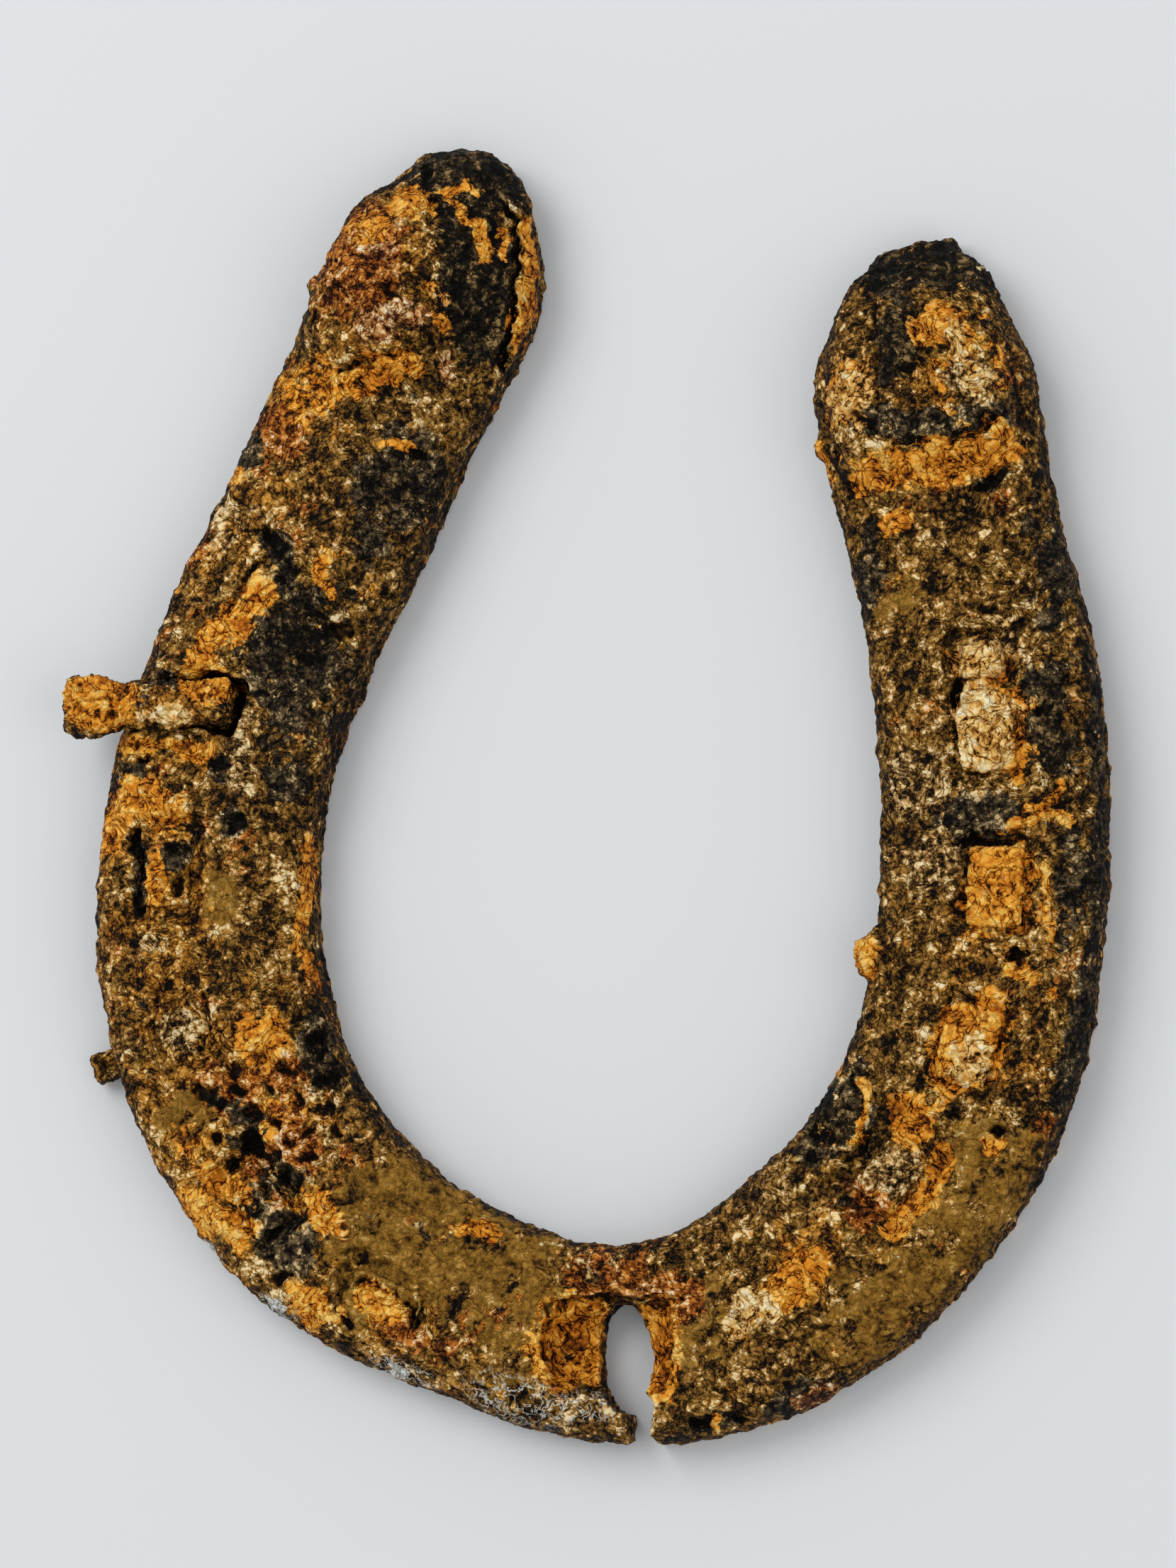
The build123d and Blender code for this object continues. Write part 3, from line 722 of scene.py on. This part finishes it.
RUST = {
    "crust": [
        (0.0, (4, 2, 1)), (0.2, (38, 23, 7)), (0.42, (98, 66, 20)), (0.62, (140, 100, 38)),
        (0.8, (180, 132, 60)), (0.92, (220, 176, 108)), (1.0, (252, 228, 176)),
    ],
    "tan": [
        (0.0, (10, 5, 1)), (0.2, (62, 34, 7)), (0.42, (134, 84, 21)), (0.62, (178, 119, 36)),
        (0.8, (210, 150, 62)), (0.92, (236, 190, 112)), (1.0, (255, 228, 170)),
    ],
    "clay": [
        (0.0, (14, 8, 2)), (0.22, (70, 45, 12)), (0.45, (136, 96, 30)), (0.7, (168, 124, 48)),
        (0.88, (200, 158, 82)), (1.0, (242, 212, 152)),
    ],
    "sienna": [
        (0.0, (10, 3, 0)), (0.2, (56, 24, 5)), (0.42, (132, 66, 13)), (0.64, (184, 106, 30)),
        (0.84, (222, 154, 72)), (1.0, (248, 218, 172)),
    ],
    "dark": [
        (0.0, (3, 2, 2)), (0.25, (19, 14, 8)), (0.5, (60, 48, 31)), (0.72, (94, 77, 50)),
        (0.9, (138, 114, 74)), (1.0, (208, 182, 132)),
    ],
    "ochre": [
        (0.0, (20, 8, 1)), (0.16, (92, 42, 4)), (0.34, (168, 90, 14)), (0.56, (222, 136, 32)),
        (0.8, (247, 174, 60)), (1.0, (254, 208, 108)),
    ],
    "pale": [
        (0.0, (7, 4, 2)), (0.22, (46, 30, 12)), (0.42, (104, 73, 32)), (0.58, (160, 118, 60)),
        (0.74, (212, 172, 106)), (0.9, (244, 220, 170)),
    ],
    "cream": [
        (0.0, (20, 9, 2)), (0.2, (112, 66, 18)), (0.4, (190, 128, 50)), (0.6, (234, 180, 94)),
        (0.8, (250, 216, 144)), (1.0, (255, 240, 200)),
    ],
    "black": [
        (0.0, (2, 2, 1)), (0.35, (14, 10, 5)), (0.6, (42, 32, 17)), (0.8, (84, 64, 34)),
        (1.0, (150, 122, 76)),
    ],
    # Painted highlight colours for the glints.
    "painted_glint": [
        (0.0, (26, 9, 3)), (0.25, (110, 56, 20)), (0.5, (188, 124, 62)), (0.72, (232, 190, 130)),
        (1.0, (255, 246, 224)),
    ],
    "white": [(0.0, (138, 128, 108)), (0.5, (224, 224, 218)), (1.0, (250, 251, 250))],
}
# The layers from the bottom up: how much wide and fine noise frays each one's outline, and a
# field that lets it turn up elsewhere too, with that field's share
REACH = {
    "tan": (2.2, 0.5, "drift", -0.35),
    "clay": (1.6, 0.25, "patches", 0.5),
    "sienna": (1.8, 0.45, "drift", 0.6),
    "dark": (1.6, 0.4, "patches", -0.5),
    "black": (1.2, 0.3, "", 0.0),
    "ochre": (1.7, 0.42, "drift", -0.34),
    "pale": (1.4, 0.55, "patches", 0.16),
    "cream": (1.9, 0.55, "", 0.0),
    # Painted highlights, laid on last but for the lint.
    "painted_glint": (1.0, 0.45, "", 0.0),
    "white": (0.9, 0.35, "", 0.0),
}
CALM = ("ochre", "cream")


def rust_material(name, grain_relief, lift=0.0):
    """Layers of rust: an olive-brown crust with clay, sienna, black, ochre and pale places on it, with
    painted glints, and painted shade in hollows and on steep walls.
    """
    material = bpy.data.materials.new(name)
    nodes = Nodes(material)
    place = nodes.add("ShaderNodeTexCoord").outputs["Object"]
    specks = nodes.noise(place, 0.55 * MM, 2.0, 0.6)
    crumbs = nodes.noise(place, 1.9 * MM, 4.0, 0.62, 1.1)
    clouds = nodes.noise(place, 5.0 * MM, 4.0, 0.6, 0.4)
    shifted = nodes.add("ShaderNodeMapping", {"Vector": place, "Location": (0.3, 0.1, 0.2)}).outputs[0]
    curls = nodes.math("ABSOLUTE", nodes.math("SUBTRACT", nodes.noise(place, 1.5 * MM, 2.0, 0.5, 1.6), 0.5))
    cracks = nodes.noise(shifted, 2.4 * MM, 3.0, 0.6, 1.2)
    fissures = nodes.math("ABSOLUTE", nodes.math("SUBTRACT", cracks, 0.5))
    relief = nodes.field("relief")
    pushed = nodes.pushed_about(place, 1.4 * MM, 2.2 * MM)
    hue, shade_of, _ = nodes.cell_colours(pushed, 1.5 * MM)
    fine_hue, fine_shade, _ = nodes.cell_colours(pushed, 0.75 * MM)
    gaps = nodes.between(nodes.cells(pushed, 1.5 * MM, "DISTANCE_TO_EDGE"), 0.09, 0.0)
    # Painted light and shade in all three tones: raised points are lightened and hollows darkened by how
    # far each stands proud, and steep walls are darkened.
    tone = nodes.blend_of(0.51 + lift, (
        (specks, 0.5, 1.1), (crumbs, 0.5, 1.8), (clouds, 0.5, 0.8), (shade_of, 0.5, 0.34),
        (fine_shade, 0.5, 0.26),
        (relief, 0.0, 0.9), (gaps, 0.0, -0.22), (nodes.between(curls, 0.03, 0.0), 0.0, 0.2),
        (nodes.between(fissures, 0.03, 0.0), 0.0, -0.4), (nodes.field("steep_shade"), 0.0, -0.26)))
    calm_tone = nodes.blend_of(0.65 + lift, (
        (specks, 0.5, 0.8), (crumbs, 0.5, 1.2), (clouds, 0.5, 0.9), (fine_shade, 0.5, 0.3),
        (relief, 0.0, 0.8), (gaps, 0.0, -0.05),
        (nodes.between(fissures, 0.04, 0.0), 0.0, -0.5), (nodes.field("steep_shade"), 0.0, -0.2)))
    soft_tone = nodes.blend_of(0.5 + lift, (
        (specks, 0.5, 0.9), (crumbs, 0.5, 0.6), (clouds, 0.5, 0.8), (fine_shade, 0.5, 0.2),
        (relief, 0.0, 0.7),
        (nodes.field("steep_shade"), 0.0, -0.26)))
    colour = nodes.ramp(tone, RUST["crust"])
    wander = nodes.noise(shifted, 3.6 * MM, 5.0, 0.7, 0.8)
    for layer, (wide, fine, elsewhere, share) in REACH.items():
        parts = [
            (nodes.field(layer), 0.0, 1.0), (wander, 0.5, wide),
            (hue, 0.5, fine), (fine_hue, 0.5, 0.6 * fine)]
        if elsewhere:
            parts.append((nodes.field(elsewhere), 0.0, share))
        reach = nodes.between(nodes.blend_of(0.0, parts), 0.44, 0.56)
        own_tone = soft_tone if layer == "clay" else calm_tone if layer in CALM else tone
        colour = nodes.mix(reach, colour, nodes.ramp(own_tone, RUST[layer]))
    linted = nodes.between(nodes.field("lint"), 0.2, 0.8)
    threads = nodes.math("MULTIPLY", nodes.between(curls, 0.045, 0.02), linted)
    colour = nodes.mix(nodes.math("MULTIPLY", threads, 0.8), colour, linear(222, 220, 206))
    # Painted shade: the deepest hollows darkened towards near black.
    pit_shade = nodes.between(relief, -0.10, -0.5)
    colour = nodes.mix(nodes.math("MULTIPLY", pit_shade, 0.85), colour, linear(14, 9, 5))
    height = nodes.blend_of(0.0, (
        (crumbs, 0.0, 1.2), (specks, 0.0, 0.6), (shade_of, 0.0, 0.35), (fine_shade, 0.0, 0.25),
        (gaps, 0.0, -0.4),
        (nodes.between(fissures, 0.05, 0.0), 0.0, -0.5)))
    bump = nodes.add("ShaderNodeBump", {"Height": height, "Distance": grain_relief, "Strength": 1.0})
    roughness = nodes.math("MULTIPLY_ADD", specks, -0.5, 0.9)
    surface = nodes.add("ShaderNodeBsdfPrincipled", {
        "Base Color": colour, "Roughness": roughness, "IOR": 1.45, "Specular IOR Level": 0.12,
        "Normal": bump.outputs["Normal"]})
    nodes.add("ShaderNodeOutputMaterial", {"Surface": surface.outputs["BSDF"]})
    return material


def table_material(colour):
    """A matt pale board."""
    material = bpy.data.materials.new("pale_table")
    nodes = Nodes(material)
    surface = nodes.add("ShaderNodeBsdfPrincipled", {
        "Base Color": (*colour, 1.0), "Roughness": 0.75, "Specular IOR Level": 0.3})
    nodes.add("ShaderNodeOutputMaterial", {"Surface": surface.outputs["BSDF"]})
    return material


# ---------------------------------------------------------------------------------------------
# Operators


class HORSESHOE_OT_shoe(bpy.types.Operator):
    """Makes the corroded bar with both calkins"""

    bl_idname = "horseshoe.shoe"
    bl_label = "Shoe"

    def execute(self, context):
        crust = context.scene.horseshoe_crust
        piece = merged_copy("shoe", "corroded_shoe")
        for node, (growth, drop) in PACKING.items():
            pack_scale_round(piece, node, growth, drop)
        add_lumps(piece, LUMPS)
        open_toe_hole(piece, crust.net)
        even_net(piece, crust.net)
        places = mm(points_of(piece))
        holes = [(mm(np.array(low)), mm(np.array(high))) for low, high in map(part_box, PACKING)]
        soften(piece, near_boxes(places, holes, 3.0) * ease(1.0, 4.0, places[:, 2]), 10)
        swell(piece, "IMPROVED_PERLIN", 8 * MM, crust.swell)
        swell(piece, "VORONOI_F1", 2.6 * MM, crust.crumble, hard=False)
        swell(piece, "BLENDER_ORIGINAL", 1.3 * MM, crust.grit, depth=3, hard=True)
        carve(piece)
        rest_on_table(piece)
        thin_out(piece, crust.most_faces)
        paint_fields(piece)
        shade(piece, rust_material("rusted_bar", crust.bump))
        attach(piece, "root")
        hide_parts("shoe")
        return {"FINISHED"}


class HORSESHOE_OT_nails(bpy.types.Operator):
    """Makes the old nails and the piece that broke off one of them"""

    bl_idname = "horseshoe.nails"
    bl_label = "Nails"

    def execute(self, context):
        crust = context.scene.horseshoe_crust
        material = rust_material("rusted_nails", crust.bump, lift=0.05)
        for node in sorted(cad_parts):
            if node == "shoe":
                continue
            piece = merged_copy(node, f"rusted_{node}")
            if node == "left_nail_1":
                add_lumps(piece, BENT_NAIL_LUMPS)
            even_net(piece, crust.nail_net)
            soften(piece, np.ones(len(piece.data.vertices)), NAIL_ROUNDING)
            wear = BENT_NAIL_WEAR if node == "left_nail_1" else NAIL_WEAR
            swell(piece, "IMPROVED_PERLIN", 2.6 * MM, wear * crust.swell)
            swell(piece, "VORONOI_F1", 1.6 * MM, wear * crust.crumble)
            swell(piece, "BLENDER_ORIGINAL", 0.9 * MM, 0.7 * crust.grit, depth=2, hard=True)
            carve(piece)
            rest_on_table(piece)
            paint_fields(piece, NAIL_PAINT)
            shade(piece, material)
            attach(piece, "root")
            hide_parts(node)
        return {"FINISHED"}


class HORSESHOE_OT_stage(bpy.types.Operator):
    """Makes the table, the lights and the camera"""

    bl_idname = "horseshoe.stage"
    bl_label = "Stage"

    def execute(self, context):
        stage = context.scene.horseshoe_stage
        bpy.ops.object.select_all(action="DESELECT")
        bpy.ops.mesh.primitive_plane_add(size=6.0, location=(0.0, 0.0, -0.1 * MM))
        table = context.active_object
        table.name = "table"
        table.data.materials.append(table_material(stage.table))
        world = bpy.data.worlds.new("soft_sky")
        world.use_nodes = True
        world.node_tree.nodes["Background"].inputs["Color"].default_value = (1.0, 1.0, 1.0, 1.0)
        world.node_tree.nodes["Background"].inputs["Strength"].default_value = stage.sky
        context.scene.world = world
        middle = Vector((MIDDLE.x, MIDDLE.y, 0.0))
        lamps = (
            ("main_lamp", (-0.45, 0.35, 0.75), 0.7, stage.lamp),
            ("low_lamp", (0.5, -0.2, 0.6), 0.6, 0.25 * stage.lamp))
        for name, place, size, power in lamps:
            lamp = bpy.data.lights.new(name, "AREA")
            lamp.shape = "DISK"
            lamp.size = size
            lamp.energy = power
            holder = bpy.data.objects.new(name, lamp)
            context.scene.collection.objects.link(holder)
            holder.location = middle + Vector(place)
            holder.rotation_euler = (middle - holder.location).to_track_quat("-Z", "Y").to_euler()
        camera = bpy.data.cameras.new("camera")
        holder = bpy.data.objects.new("camera", camera)
        context.scene.collection.objects.link(holder)
        holder.location = middle + stage.distance * Vector(LOOKING_FROM).normalized()
        aim = Vector((MIDDLE.x - 0.5 * MM, MIDDLE.y, 6 * MM))
        ahead = (aim - holder.location).normalized()
        right = ahead.cross(Vector((0.0, 1.0, 0.0))).normalized()
        above = right.cross(ahead)
        holder.matrix_world = Matrix((
            (right.x, above.x, -ahead.x, holder.location.x),
            (right.y, above.y, -ahead.y, holder.location.y),
            (right.z, above.z, -ahead.z, holder.location.z), (0.0, 0.0, 0.0, 1.0)))
        distance = (aim - holder.location).length
        tall = (SHOE_HIGH.y - SHOE_LOW.y) / stage.fill
        camera.sensor_fit = "VERTICAL"
        camera.sensor_height = 32.0
        camera.lens = camera.sensor_height * distance / tall
        camera.clip_start = 0.01
        context.scene.camera = holder
        context.scene.view_settings.view_transform = "Standard"
        return {"FINISHED"}


class HORSESHOE_PT_panel(bpy.types.Panel):
    """Lists the horseshoe's operators and settings"""

    bl_idname = "HORSESHOE_PT_panel"
    bl_label = "Rusted horseshoe"
    bl_space_type = "VIEW_3D"
    bl_region_type = "UI"
    bl_category = "Horseshoe"

    def draw(self, context):
        for group in (context.scene.horseshoe_crust, context.scene.horseshoe_stage):
            for name in group.bl_rna.properties.keys():
                if name not in ("rna_type", "name"):
                    self.layout.prop(group, name)
        for operator in MAKERS:
            self.layout.operator(operator.bl_idname)


MAKERS = (HORSESHOE_OT_shoe, HORSESHOE_OT_nails, HORSESHOE_OT_stage)
CLASSES = (CrustSettings, StageSettings, *MAKERS, HORSESHOE_PT_panel)


def register():
    for kind in CLASSES:
        bpy.utils.register_class(kind)
    bpy.types.Scene.horseshoe_crust = bpy.props.PointerProperty(type=CrustSettings)
    bpy.types.Scene.horseshoe_stage = bpy.props.PointerProperty(type=StageSettings)


def unregister():
    del bpy.types.Scene.horseshoe_stage
    del bpy.types.Scene.horseshoe_crust
    for kind in reversed(CLASSES):
        bpy.utils.unregister_class(kind)


def main():
    register()
    bpy.ops.horseshoe.shoe()
    bpy.ops.horseshoe.nails()
    bpy.ops.horseshoe.stage()


if __name__ == "__main__":
    main()
